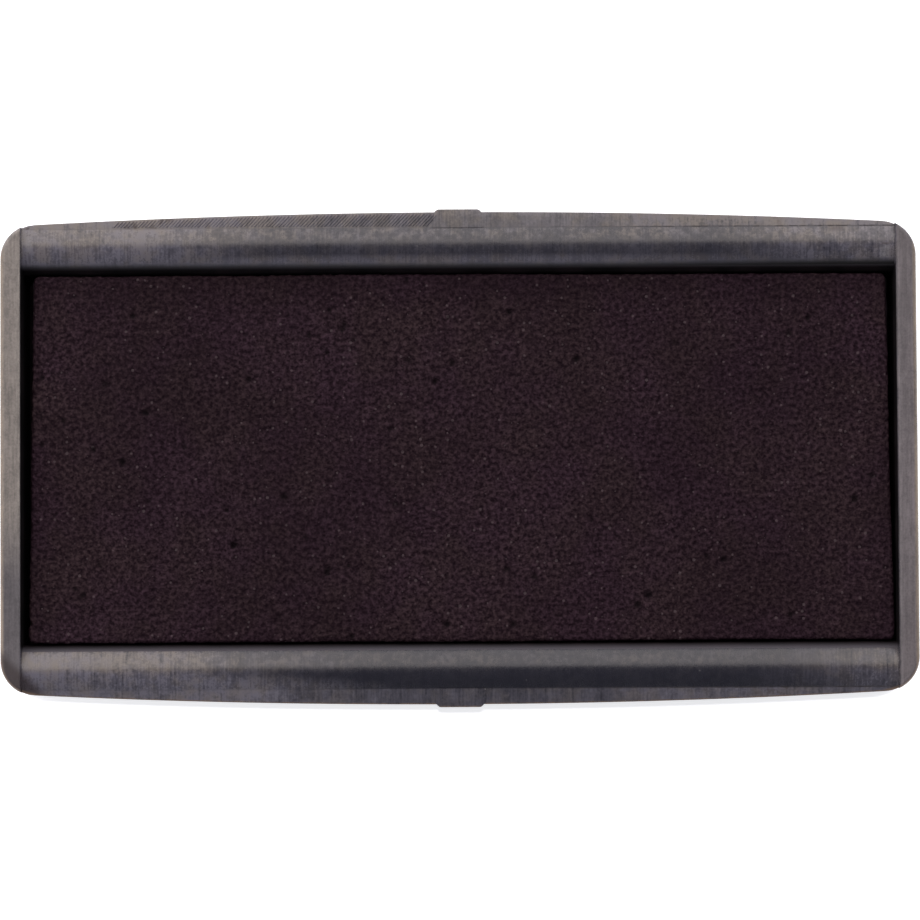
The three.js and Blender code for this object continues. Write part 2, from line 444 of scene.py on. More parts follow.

# Where the wear and the painted light and shade start and end, in mm or as a share, and the strength at either side
wearAndLight = dict(
    upward=(0.3, 0.8), halves=(-5.0, 5.0), lowerHalf=(5.0, -5.0), leftHalf=(1.0, -1.0), rightHalf=(-1.0, 1.0),
    streakSpread=(0.3, 0.7), topSide=(0.0, 0.35),
    crownShift=(-17.8, -19.6, 0.0, 10.0), leftFilm=(-13.0, -31.0, 0.0, 1.15), leftBoost=(-5.0, 5.0, 1.3, 1.0),
    rightFilm=(20.0, 38.0, 0.0, 0.95), rightLean=(8.0, 18.0, 0.4, 1.1),
    keyLightTilt=(0.05, 0.3), keyLightMottle=(0.1, 0.9, 0.0, 0.6), keyLightEnd=(20.0, 33.0, 1.0, 0.0),
    keyLightHalf=(0.0, 1.0, 0.5, 1.0), lowerGlareAlong=(0.0, -16.0, 0.0, 0.3), lowerGlareAcross=(-18.4, -17.7, 0.0, 1.0),
    lipShade=(-railInner - 0.5, -railInner - 1.5, 0.72, 1.0),
    shoulders=(railOuter - 0.06, railOuter + 0.1), upperBroad=(5.0, 28.0, 0.95, 1.8),
    lowerLeft=(-5.0, -26.0, 0.66, 1.5), lowerRight=(5.0, 28.0, 0.66, 1.15), lit=(0.55, 0.1, 1.0, 1.45),
    frayed=(0.25, 1.15, 0.02, 1.0), rim=(railInner + 1.9, railInner + 0.9), rimAlong=(8.0, 26.0, 1.0, 0.65),
    rimFrayed=(0.3, 1.2, 0.5, 0.95), handled=(0.3, 1.2, 0.22, 0.46), coolReflectionTilt=(0.15, -0.1, -0.1, 0.5),
    onEnds=(innerHalf - 0.02, innerHalf + 0.08), litLeftSpan=(-11.5, -3.0),
    alongEnd=(0.42, 1.05, 0.66, 1.34), dimmed=(5.0, 14.0, 1.06, 0.88),
    edge=(halfLength - 0.45, halfLength - 0.1), edgeUp=(0.05, 0.6), edgeFrayed=(0.2, 1.2, 0.3, 0.9),
    stainMottle=(0.45, 0.95, 0.0, 0.8), stainCloud=(0.45, 0.8), stainAlong=(17.0, 26.0, 0.0, 0.8),
    smudgeBlotch=(0.12, 0.5), crease=(0.1, 0.03), creaseAlong=(2.0, 24.0, 0.15, 0.75),
    creaseMottle=(0.2, 0.6, 0.4, 1.0), lowerCorner=(-54.6, -55.9),
    nubReach=(tray["nubWidth"] / 2, tray["nubWidth"] / 2 - 0.4, 0.0, 0.23),
    brownEdge=(0.16, 0.04), brownEdgeMottle=(0.1, 0.7, 0.35, 0.9), brownEdgeUp=(0.0, 0.3),
    bentRim=(tray["cornerRadius"] - 0.3, tray["cornerRadius"] - 0.05), bentAcross=(-cornerY + 0.5, -cornerY - 0.5),
    bentAlong=(-0.2, 0.4), patchFrayed=(0.3, 1.1, 0.15, 0.9),
    lipShift=(12.0, 36.0, 0.0, 0.2), upperLip=(railInner + 0.95, railInner + 0.4),
    lowerLip=(-railInner - 0.4, -railInner - 0.1), insideEnds=(innerHalf + 0.04, innerHalf + 0.01),
    offBase=(1.5, 2.0), frayedRough=(0.3, 1.2, plastic["smooth"], plastic["rough"]),
    soakedUpper=(railInner + 0.27, railInner + 1.0), soakedLower=(-railInner, -railInner - 0.6, 0.0, 0.62),
    soakedHeight=(leadTop - 1.2, leadTop - 0.5), soakedRough=(0.0, 1.0, 0.7, 0.9),
)

# Single marks: low and high x, low and high y, softness
marks = dict(
    lowerLeftGlare=(-37.5, -28.5, -18.25, -16.2, 0.25), smudge=(31.7, 33.0, 19.3, 19.5, 0.35),
    darkMark=(36.1, 36.75, 18.02, 18.12, 0.09), patch=(36.0, 36.75, 16.9, 17.9, 0.1),
    strip=(-36.8, -36.4, 17.6, 19.0, 0.15),
)

# How strongly each layer is laid on
strength = dict(
    upperFilm=0.25, lowerLeftGlare=0.25, faint=0.07, hue=0.7, stain=0.85, corner=0.8, dust=0.35, strip=0.6,
)


# A soft-edged box in plan, from 0 outside to 1 inside
def spot(x, y, lowX, highX, lowY, highY, soft):
    mask = 1.0
    for value, low, high in ((x, lowX, highX), (y, lowY, highY)):
        mask = times(mask, ramp(value, low - soft, low + soft))
        mask = times(mask, ramp(value, high + soft, high - soft))
    return mask


def weighted(layers, shares):
    return plus(*(times(layers[name], share) for name, share in shares.items()))


def buildPlastic():
    material, tree, shader, where = newMaterial("wornAndLitPlastic", plastic["rough"], plastic["specular"])

    def band(name, value, smooth=True):
        return ramp(value, *wearAndLight[name], smooth=smooth)

    x, y, z = axesOf(where)
    normal = place(tree, "ShaderNodeNewGeometry").outputs["Normal"]
    _, tilt, up = axesOf(normal)
    outX, outY = calc("ABSOLUTE", x), calc("ABSOLUTE", y)
    facingUp, plusY = band("upward", up), band("halves", y)

    fine = useGroup(streaks, where, Pitch=0.17, Length=2.6)
    wide = useGroup(streaks, where, Pitch=1.3, Length=7.0, Shift=3.0)
    fine, wide = band("streakSpread", fine, smooth=False), band("streakSpread", wide, smooth=False)
    cloud = useGroup(patches, where, Size=4.5, Low=0.3, High=0.7, Shift=6.0)
    mottle = useGroup(patches, where, Size=0.55, Low=0.3, High=0.72, Shift=2.0)
    grain = useGroup(patches, where, Size=0.2, Low=0.3, High=0.7, Shift=4.0)
    hue = useGroup(patches, where, Size=1.6, Low=0.35, High=0.65, Shift=9.0)
    dust = useGroup(specks, where, Size=0.7, Share=0.1, Radius=0.1)
    layers = dict(fine=fine, wide=wide, cloud=cloud, mottle=mottle, grain=grain)
    frayed = weighted(layers, frayShares)

    # a pale film that thins out in streaks from both ends of the rails, with painted light and painted reflections
    # added into the same haze
    shifted = minus(x, band("crownShift", y))
    left = times(band("leftFilm", shifted), band("leftBoost", y))
    right = times(band("rightFilm", x), band("rightLean", plus(y, x)))
    reach = plus(larger(left, right), times(plusY, strength["upperFilm"]))
    # painted light: more haze, in mottled patches, on faces turned towards the key light at +Y
    paintedKeyLight = times(band("keyLightTilt", tilt), band("keyLightMottle", mottle))
    paintedKeyLight = times(paintedKeyLight, larger(plusY, band("keyLightEnd", x)))
    reach = plus(reach, times(paintedKeyLight, band("keyLightHalf", plusY)))
    # painted reflection: the lower rail's lit band carried on along its left half
    lowerRailGlare = times(band("lowerGlareAlong", x), band("lowerGlareAcross", y))
    reach = plus(reach, times(lowerRailGlare, band("lowerHalf", y)))
    reach = times(reach, larger(plusY, band("lipShade", y)))

    # the film lies thicker over the shoulders; painted light brightens the upper shoulder's outer edge, and a painted
    # reflection runs along the upper rail's rim
    shoulders = band("shoulders", outY)
    lowerBroad = larger(band("lowerLeft", x), band("lowerRight", x))
    outline = minus(sideY, calc("DIVIDE", times(x, x), 2 * bowRadius))
    broad = times(band("upperBroad", outX), band("lit", minus(outline, y)))
    broad = blend(plusY, lowerBroad, broad)
    reach = larger(reach, times(shoulders, broad))
    # painted reflection: the lower rail's lit band at its left end
    reach = plus(reach, times(spot(x, y, *marks["lowerLeftGlare"]), strength["lowerLeftGlare"]))
    haze = times(reach, band("frayed", frayed, smooth=False))
    haze = plus(haze, times(cloud, mottle, strength["faint"]))
    # painted reflection: a pale band along the upper rail's rim
    rim = times(band("rim", y), band("rimAlong", x), band("rimFrayed", frayed))
    haze = larger(haze, times(rim, plusY))
    haze = blend(band("topSide", up), band("handled", frayed), haze)
    # random cool hue patches, plus a painted reflection: faces turned towards -Y take the cooler haze
    coolHueAndReflection = calc("ADD", times(hue, strength["hue"]), band("coolReflectionTilt", tilt), clamp=True)
    tone = mixColour(haze, plastic["base"], mixColour(coolHueAndReflection, plastic["haze"], plastic["coolHaze"]))

    # the end walls' tops are streaked along their length; painted light makes the left end's top lighter than the
    # right's, save at its lower part
    onEnds = times(band("onEnds", outX), facingUp)
    leftTop = times(band("leftHalf", x), band("litLeftSpan", y))
    endTone = mixColour(band("rightHalf", x), plastic["leftEndBase"], plastic["rightEndBase"])
    endTone = mixColour(leftTop, endTone, plastic["litLeftEnd"])
    alongEnd = band("alongEnd", frayed, smooth=False)
    alongEnd = times(alongEnd, band("dimmed", times(outY, band("rightHalf", x))))
    endTone = place(tree, "ShaderNodeVectorMath", {0: endTone, "Scale": alongEnd}, operation="SCALE").outputs[0]
    tone = mixColour(onEnds, tone, endTone)

    # rubbed outer edges of the end walls
    worn = times(band("edge", outX), band("edgeUp", up), band("edgeFrayed", frayed))
    tone = mixColour(worn, tone, plastic["wornEdge"])

    # old ink on the shoulders and in the crease, and a dark brown patch at the lower left corner
    stain = times(shoulders, band("stainMottle", mottle), band("stainCloud", cloud))
    stain = times(stain, band("stainAlong", outX), facingUp)
    blotch = band("smudgeBlotch", weighted(layers, blotchShares))
    smudge = times(spot(x, y, *marks["smudge"]), blotch)
    smudge = larger(smudge, spot(x, y, *marks["darkMark"]))
    stain = larger(stain, times(smudge, strength["stain"]))
    tone = mixColour(stain, tone, plastic["inkBrown"])
    crease = band("crease", calc("ABSOLUTE", minus(outY, railOuter + 0.02)))
    crease = times(crease, band("creaseAlong", x), band("creaseMottle", mottle))
    tone = mixColour(crease, tone, plastic["inkLine"])
    lowerCorner = times(band("lowerCorner", plus(x, y)), strength["corner"])
    tone = mixColour(lowerCorner, tone, plastic["inkBrown"])

    # a brown tint along the lower side's outer edge, round the nub and the corners
    inset = plus(outline, band("nubReach", outX), y)
    brownEdge = times(band("brownEdge", inset), band("brownEdgeMottle", mottle))
    intoCorner = minus(outX, cornerX)
    past = minus(times(y, -1.0), cornerY)
    fromCorner = vector(larger(intoCorner, 0.0), past)
    fromCorner = place(tree, "ShaderNodeVectorMath", {0: fromCorner}, operation="LENGTH").outputs["Value"]
    bent = times(band("bentRim", fromCorner), band("bentAcross", y), band("bentAlong", intoCorner))
    brownEdge = times(larger(brownEdge, bent), band("brownEdgeUp", up))
    tone = mixColour(brownEdge, tone, plastic["brownEdge"])
    tone = mixColour(times(dust, strength["dust"]), tone, plastic["dust"])

    # a rubbed patch beside the right end of the upper rail, and a narrow pale strip at its left end
    patch = times(spot(x, y, *marks["patch"]), band("patchFrayed", frayed))
    strip = times(spot(x, y, *marks["strip"]), strength["strip"])
    tone = mixColour(larger(patch, strip), tone, plastic["paleMark"])

    # painted shade: the lead-ins and the walls of the pocket are darkened to near black, partly soaked ink and partly
    # the shadow in the gap beside the pad
    upperLip = band("upperLip", minus(y, band("lipShift", x)))
    lips = calc("MINIMUM", upperLip, band("lowerLip", y))
    inPocket = times(lips, band("insideEnds", outX), band("offBase", z))
    tone = mixColour(inPocket, tone, plastic["pocketInkAndShade"])

    rough = blend(shoulders, band("frayedRough", frayed, smooth=False), plastic["shoulderRough"])
    rough = blend(onEnds, rough, plastic["endRough"])
    caked = larger(inPocket, larger(crease, stain))
    rough = blend(caked, rough, plastic["cakedRough"])
    dress(tree, shader, tone, rough, weighted(layers, bumpShares), plastic["bumpDepth"])
    return material


# The pocket's walls and floor: old ink keeps them dull, and their near-black colour is partly ink and partly painted
# shade in the gap beside the pad
def buildInkAndShadePlastic():
    look = plastic["soakedRough"], plastic["soakedSpecular"]
    material, tree, shader, where = newMaterial("inkAndShadePlastic", *look)
    _, y, z = axesOf(where)
    cloud = useGroup(patches, where, Size=2.5, Low=0.35, High=0.7, Shift=3.0)
    tone = mixColour(cloud, plastic["pocketInkAndShade"], plastic["pocketStain"])
    upper, lower = ramp(y, *wearAndLight["soakedUpper"]), ramp(y, *wearAndLight["soakedLower"])
    fading = times(larger(upper, lower), ramp(z, *wearAndLight["soakedHeight"]))
    tone = mixColour(fading, tone, plastic["pocketRim"])
    dress(tree, shader, tone, ramp(cloud, *wearAndLight["soakedRough"]), cloud, plastic["soakedBumpDepth"])
    return material


plasticMaterial = buildPlastic()
inkAndShadeMaterial = buildInkAndShadePlastic()


# Plan of the tray, anticlockwise, as (point, outward normal)
def trayPlan():
    tangentAngle = math.atan2(cornerY - bowCentre, cornerX)
    quarter = []
    for i in range(13):
        quarter.append(((halfLength, cornerY * i / 12), (1, 0)))
    for i in range(1, 18):
        angle = tangentAngle * i / 17
        out = (math.cos(angle), math.sin(angle))
        quarter.append(((cornerX + tray["cornerRadius"] * out[0], cornerY + tray["cornerRadius"] * out[1]), out))
    for i in range(1, 61):
        angle = tangentAngle + (math.pi / 2 - tangentAngle) * i / 60
        out = (math.cos(angle), math.sin(angle))
        quarter.append(((bowRadius * out[0], bowCentre + bowRadius * out[1]), out))
    flipX = [((-p[0], p[1]), (-n[0], n[1])) for p, n in reversed(quarter[:-1])]
    upper = quarter + flipX
    lower = [((-p[0], -p[1]), (-n[0], -n[1])) for p, n in upper[1:-1]]
    return upper + lower


# Stacked rings of the plan, each at a height and set in by a distance
def ringSolid(name, plan, levels):
    bm = bmesh.new()
    rings = []
    for height, inset in levels:
        ring = []
        for (px, py), (nx, ny) in plan:
            ring.append(bm.verts.new(((px - nx * inset) * mm, (py - ny * inset) * mm, height * mm)))
        rings.append(ring)
    count = len(plan)
    for below, above in zip(rings, rings[1:]):
        for i in range(count):
            j = (i + 1) % count
            bm.faces.new((below[i], below[j], above[j], above[i]))
    bm.faces.new(list(reversed(rings[0])))
    bm.faces.new(rings[-1])
    return finishMesh(bm, name)


def roundedLevels(low, high, lowRound, highRound, steps):
    levels = []
    for i in range(steps + 1):
        angle = math.pi / 2 * i / steps
        levels.append((low + lowRound * (1 - math.sin(angle)), lowRound * (1 - math.cos(angle))))
    levels.reverse()
    for i in range(steps + 1):
        angle = math.pi / 2 * i / steps
        levels.append((high - highRound * (1 - math.sin(angle)), highRound * (1 - math.cos(angle))))
    return levels


# Half of the section that is cut away above the rails, from the shoulder's edge to the pocket.
# The crown rolls off into the lead-in a little before its end.
def railProfile(rollOff):
    r = tray["shoulderRound"]
    radius = tray["crownRadius"]
    edgeY = sideY - r + 0.01
    edgeZ = creaseZ - slope * (edgeY - railOuter) - r / math.cos(math.radians(tray["shoulderSlope"]))
    points = [(sideY + 2, trayTop + 3), (sideY + 2, edgeZ), (sideY + 0.5, edgeZ)]
    start = math.radians(tray["shoulderSlope"])
    for i in range(7):
        angle = math.pi / 2 - (math.pi / 2 - start) * i / 6
        points.append((edgeY + r * math.sin(angle), edgeZ + r * math.cos(angle)))
    points.append((railOuter + tray["creaseLap"], creaseZ - tray["creaseLap"] * slope))
    lastAngle = math.asin((crestY - railInner - tray["leadWidth"] - rollOff) / radius)
    for i in range(41):
        angle = outerAngle - (outerAngle + lastAngle) * i / 40
        if i == 0:
            angle -= math.radians(tray["creaseTurn"])
        points.append((crestY + radius * math.sin(angle), crest - radius * (1 - math.cos(angle))))
    fromY, fromZ = points[-1]
    toY, toZ = railInner, leadTop - tray["leadHeight"]
    steep, pull, foot = math.radians(tray["leadSteepness"]), tray["leadPull"], tray["leadFoot"]
    for i in range(1, 8):  # a curve that leaves along the crown and arrives steeply
        t = i / 8
        nearY, nearZ = fromY - (fromY - toY) * pull, fromZ - (fromY - toY) * pull * math.tan(lastAngle)
        farY, farZ = toY + foot / math.tan(steep), toZ + foot
        a, b, c, d = (1 - t) ** 3, 3 * t * (1 - t) ** 2, 3 * t ** 2 * (1 - t), t ** 3
        points.append((a * fromY + b * nearY + c * farY + d * toY, a * fromZ + b * nearZ + c * farZ + d * toZ))
    points.append((toY, toZ))
    points.append((railInner, tray["floorTop"]))
    return points


# Half width of the bowed side at a distance from mid length, all in metres
def buildSideRule():
    labels = ("X", "Bow Radius", "Bow Centre", "Corner X", "Corner Y", "Corner Radius")
    inputs = {label: 0.0 for label in labels}
    tree, source, result = newTree("sideRule", "GeometryNodeTree", inputs, {"Y": "NodeSocketFloat"})

    def arc(distance, radius, centre):
        inside = minus(calc("POWER", radius, 2.0), calc("POWER", distance, 2.0))
        return plus(calc("SQRT", larger(inside, 0.0)), centre)

    distance = calc("ABSOLUTE", source["X"])
    bow = arc(distance, source["Bow Radius"], source["Bow Centre"])
    corner = arc(minus(distance, source["Corner X"]), source["Corner Radius"], source["Corner Y"])
    pastCorner = calc("GREATER_THAN", distance, source["Corner X"])
    lower = calc("MINIMUM", bow, corner)
    tree.links.new(blend(pastCorner, bow, lower), result["Y"])
    return tree


sideRule = buildSideRule()


def sideAt(distance):
    values = {"X": distance, "Bow Radius": bowRadius * mm, "Bow Centre": bowCentre * mm, "Corner X": cornerX * mm,
              "Corner Y": cornerY * mm, "Corner Radius": tray["cornerRadius"] * mm}
    return join("GeometryNodeGroup", values, node_tree=sideRule).outputs["Y"]


# Sweeps the section along the tray, with its outer part following the bowed side
def buildOpeningTree():
    inputs = {"Half Length": 0.037, "Step": 0.001, "Rail Outer": 0.0196, "Side Y": 0.0209, "Slope": 0.14}
    tree, source, result = geometryTree("openingSweep", inputs)
    start, end = vector(times(source["Half Length"], -1.0)), vector(source["Half Length"])
    line = place(tree, "GeometryNodeCurvePrimitiveLine", {"Start": start, "End": end})
    spacing = {"Curve": line.outputs[0], "Length": source["Step"]}
    stations = place(tree, "GeometryNodeResampleCurve", spacing, mode="LENGTH")
    swept = place(tree, "GeometryNodeCurveToMesh", {"Curve": stations.outputs[0], "Profile Curve": source["Geometry"],
                                                    "Fill Caps": True})
    position = place(tree, "GeometryNodeInputPosition").outputs[0]
    x, y, z = axesOf(position)
    outside = calc("GREATER_THAN", calc("ABSOLUTE", y), plus(source["Rail Outer"], 0.0002))
    shift = minus(sideAt(x), source["Side Y"])
    shift = times(shift, outside)
    newY = plus(y, times(shift, calc("SIGN", y)))
    newZ = minus(z, times(shift, source["Slope"]))
    moved = vector(x, newY, newZ)
    bowed = place(tree, "GeometryNodeSetPosition", {"Geometry": swept.outputs[0], "Position": moved})
    closeTree(tree, source, result, bowed.outputs[0])
    return tree


def buildOpening():
    lower, upper = railProfile(tray["leadRoundLower"]), railProfile(tray["leadRoundUpper"])
    section = [(-y, z) for y, z in lower] + list(reversed(upper))
    curve = bpy.data.curves.new("openingSection", "CURVE")
    curve.dimensions = "3D"
    spline = curve.splines.new("POLY")
    spline.points.add(len(section) - 1)
    for point, (y, z) in zip(spline.points, section):
        point.co = (-y * mm, -z * mm, 0, 1)  # the sweep turns a section by half a turn
    spline.use_cyclic_u = True
    source = bpy.data.objects.new("openingSection", curve)
    bpy.context.scene.collection.objects.link(source)
    values = {"Half Length": innerHalf * mm, "Step": 0.6 * mm, "Rail Outer": railOuter * mm,
              "Side Y": sideY * mm, "Slope": slope}
    mesh = runTree(source, buildOpeningTree(), values)
    bpy.data.objects.remove(source)
    return newObject("openingCutter", mesh)


def prismAlongY(name, points, halfWidth):
    bm = bmesh.new()
    near = [bm.verts.new((x * mm, -halfWidth * mm, z * mm)) for x, z in points]
    far = [bm.verts.new((x * mm, halfWidth * mm, z * mm)) for x, z in points]
    closePrism(bm, near, far)
    return newObject(name, finishMesh(bm, name))


# Rounds an end wall's inner upper edge
def wallEdgeCutter(side, r):
    points = [(innerHalf - 1, trayTop + 1), (innerHalf - 1, trayTop - r), (innerHalf, trayTop - r)]
    for i in range(1, 9):
        angle = math.radians(86) * i / 8
        points.append((innerHalf + r * (1 - math.cos(angle)), trayTop - r * (1 - math.sin(angle))))
    points.append((innerHalf + r, trayTop + 1))
    return prismAlongY("wallEdge", [(side * x, z) for x, z in points], halfEnd + 3)


def roundedBlock(name, low, high, edge, segments=3, verticalOnly=False):
    bm = bmesh.new()
    bmesh.ops.create_cube(bm, size=1)
    size = [(b - a) * mm for a, b in zip(low, high)]
    centre = [(a + b) / 2 * mm for a, b in zip(low, high)]
    bmesh.ops.scale(bm, vec=size, verts=bm.verts)
    bmesh.ops.translate(bm, vec=centre, verts=bm.verts)
    edges = bm.edges[:]
    if verticalOnly:
        edges = [e for e in edges if abs(e.verts[0].co.z - e.verts[1].co.z) > 1e-6]
    bmesh.ops.bevel(bm, geom=edges, offset=edge * mm, segments=segments, profile=0.5, affect="EDGES")
    return newObject(name, finishMesh(bm, name))


# Copies one cutter on a grid
def buildGridTree():
    inputs = {"Count X": 2, "Count Y": 2, "Pitch X": 0.01, "Pitch Y": 0.01}
    tree, source, result = geometryTree("cutterGrid", inputs)
    alongX, alongY = vector(source["Pitch X"]), vector(0.0, source["Pitch Y"])
    row = place(tree, "GeometryNodeMeshLine", {"Count": source["Count X"], "Offset": alongX})
    column = place(tree, "GeometryNodeMeshLine", {"Count": source["Count Y"], "Offset": alongY})
    rows = place(tree, "GeometryNodeInstanceOnPoints", {"Points": column.outputs[0], "Instance": row.outputs[0]})
    spots = place(tree, "GeometryNodeRealizeInstances", {"Geometry": rows.outputs[0]})
    copies = place(tree, "GeometryNodeInstanceOnPoints", {"Points": spots.outputs[0], "Instance": source["Geometry"]})
    closeTree(tree, source, result, copies.outputs[0])
    return tree


gridTree = buildGridTree()


def onGrid(first, countX, countY, pitchX, pitchY):
    values = {"Count X": countX, "Count Y": countY, "Pitch X": pitchX * mm, "Pitch Y": pitchY * mm}
    first.data = runTree(first, gridTree, values)
    return first


def bayCutters():
    countX, countY = tray["bayCount"]
    rib = tray["bayRib"]
    lengthX = (2 * innerHalf - (countX - 1) * rib) / countX
    lengthY = (2 * railInner - (countY - 1) * rib) / countY
    low = (-innerHalf, -railInner, -2)
    high = (-innerHalf + lengthX, -railInner + lengthY, tray["bayTop"])
    first = roundedBlock("bays", low, high, 0.5, verticalOnly=True)
    return onGrid(first, countX, countY, lengthX + rib, lengthY + rib)


def coreCutters():
    count, wall = tray["coreCount"], tray["coreWall"]
    lengthX = (2 * innerHalf - (count - 1) * wall) / count
    outer, inner = railOuter - wall, railInner + wall
    first = roundedBlock("cores", (-innerHalf, -outer, -2), (-innerHalf + lengthX, -inner, tray["coreTop"]), 0.35)
    return onGrid(first, count, 2, lengthX + wall, outer + inner)


# A nub in plan, bevelled at its corners, with a top that slopes as the shoulder does
def nub(side):
    tip, wide = trayHigh.y / mm, tray["nubWidth"] / 2
    root = tip - tray["nubRoot"]
    top = creaseZ - slope * (tip - railOuter) + tray["nubLift"]
    plan = [(-wide, root), (wide, root), (wide - 0.12, tip - 0.3), (wide - tray["nubBevel"], tip),
            (-wide + tray["nubBevel"], tip), (-wide + 0.12, tip - 0.3)]
    bm = bmesh.new()
    low = [bm.verts.new((x * mm, side * y * mm, tray["nubBottom"] * mm)) for x, y in plan]
    high = [bm.verts.new((x * mm, side * y * mm, (top + slope * (tip - y)) * mm)) for x, y in plan]
    closePrism(bm, low, high)
    outer = [e for e in bm.edges if all(abs(v.co.y) > (root + 0.1) * mm for v in e.verts)]
    bmesh.ops.bevel(bm, geom=outer, offset=tray["nubRound"] * mm, segments=2, profile=0.5, affect="EDGES")
    return newObject("nub", finishMesh(bm, "nub"))


# The parting groove between a rail and an end wall, open at the top
def junctionGroove(alongX, alongY):
    spanX = sorted((alongX * (innerHalf - tray["grooveWidth"]), alongX * (innerHalf + 0.02)))
    spanY = sorted((alongY * (crestY - 1.3), alongY * (crestY + 1.2)))
    low = (spanX[0], spanY[0], crest - tray["grooveDepth"])
    high = (spanX[1], spanY[1], crest + 1)
    return roundedBlock("groove", low, high, 0.02, segments=1)


# Fine slanting ridges along half of one shoulder
def buildSerrationTree():
    labels = ("Start X", "Pitch", "Root Y", "Tip Y", "Margin", "Lean", "Width", "Height", "Crease Y", "Crease Z",
              "Slope")
    inputs = {**{label: 0.0 for label in labels}, "Count": 90, "Seed": 3}
    tree, source, result = geometryTree("serration", inputs)
    start = vector(source["Start X"], source["Root Y"], source["Crease Z"])
    step = vector(source["Pitch"])
    values = {"Count": source["Count"], "Start Location": start, "Offset": step}
    line = place(tree, "GeometryNodeMeshLine", values)
    position = place(tree, "GeometryNodeInputPosition").outputs[0]
    x, y, _ = axesOf(position)
    tip = calc("MINIMUM", source["Tip Y"], minus(sideAt(x), source["Margin"]))
    run = calc("DIVIDE", minus(tip, source["Root Y"]), calc("SINE", source["Lean"]))
    uneven = place(tree, "FunctionNodeRandomValue", {2: 0.55, 3: 1.1, "Seed": source["Seed"]}, data_type="FLOAT")
    tall = times(source["Height"], uneven.outputs[1])
    scale = vector(run, source["Width"], tall)
    turn = vector(z=source["Lean"])
    ridges = place(tree, "GeometryNodeInstanceOnPoints", {"Points": line.outputs[0], "Instance": source["Geometry"],
                                                          "Rotation": turn, "Scale": scale})
    real = place(tree, "GeometryNodeRealizeInstances", {"Geometry": ridges.outputs[0]})
    fall = times(minus(source["Crease Y"], y), source["Slope"])
    laid = place(tree, "GeometryNodeSetPosition", {"Geometry": real.outputs[0], "Offset": vector(z=fall)})
    closeTree(tree, source, result, laid.outputs[0])
    return tree


serration = dict(
    startX=-29.4, endX=-2.4, pitch=0.3, rootY=19.80, tipY=20.90, margin=0.13, lean=47.0, width=0.19, height=0.07,
    seed=3,
)


def buildSerration():
    section = [(-0.5, -1.5), (0.5, -1.5), (0.5, -0.1), (0.2, 0.8), (0, 1), (-0.2, 0.8), (-0.5, -0.1)]
    bm = bmesh.new()
    near = [bm.verts.new((0, y, z)) for y, z in section]
    far = [bm.verts.new((1, y, z)) for y, z in section]
    closePrism(bm, near, far)
    ridges = newObject("serration", finishMesh(bm, "serration"))
    count = round((serration["endX"] - serration["startX"]) / serration["pitch"])
    values = inMetres(serration, "Start X", "Pitch", "Root Y", "Tip Y", "Margin", "Width", "Height")
    values.update({"Count": count, "Lean": math.radians(serration["lean"]), "Crease Y": railOuter * mm,
                   "Crease Z": creaseZ * mm, "Slope": slope, "Seed": serration["seed"]})
    ridges.data = runTree(ridges, buildSerrationTree(), values)
    return ridges


def buildTray():
    levels = roundedLevels(0, trayTop, tray["baseRound"], tray["topRound"], 6)
    piece = newObject("trayBody", ringSolid("trayBody", trayPlan(), levels))
    carve(piece, buildOpening())
    print("tray: rails and pocket cut")
    carve(piece, wallEdgeCutter(-1, tray["innerRoundLeft"]))
    carve(piece, wallEdgeCutter(1, tray["innerRoundRight"]))
    carve(piece, bayCutters())
    carve(piece, coreCutters())
    carve(piece, nub(1), "UNION")
    carve(piece, nub(-1), "UNION")
    for alongX, alongY in ((-1, -1), (-1, 1), (1, -1), (1, 1)):
        carve(piece, junctionGroove(alongX, alongY))
    carve(piece, buildSerration(), "UNION")
    piece.data.materials.clear()
    piece.data.materials.append(plasticMaterial)
    piece.data.materials.append(inkAndShadeMaterial)
    for face in piece.data.polygons:
        x, y, z = face.center / mm
        inside = abs(x) < innerHalf + 0.01 and abs(y) < railInner + tray["leadWidth"] + 0.01
        face.material_index = 1 if inside and z > tray["floorTop"] - 0.05 else 0
    smoothByAngle(piece, tray["sharpAngle"])
    piece.modifiers.new("flatFaces", "WEIGHTED_NORMAL").keep_sharp = True
    return piece


trayPiece = buildTray()
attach(trayPiece, "cartridge")
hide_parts("tray")
print("tray is built,", len(trayPiece.data.polygons), "faces")


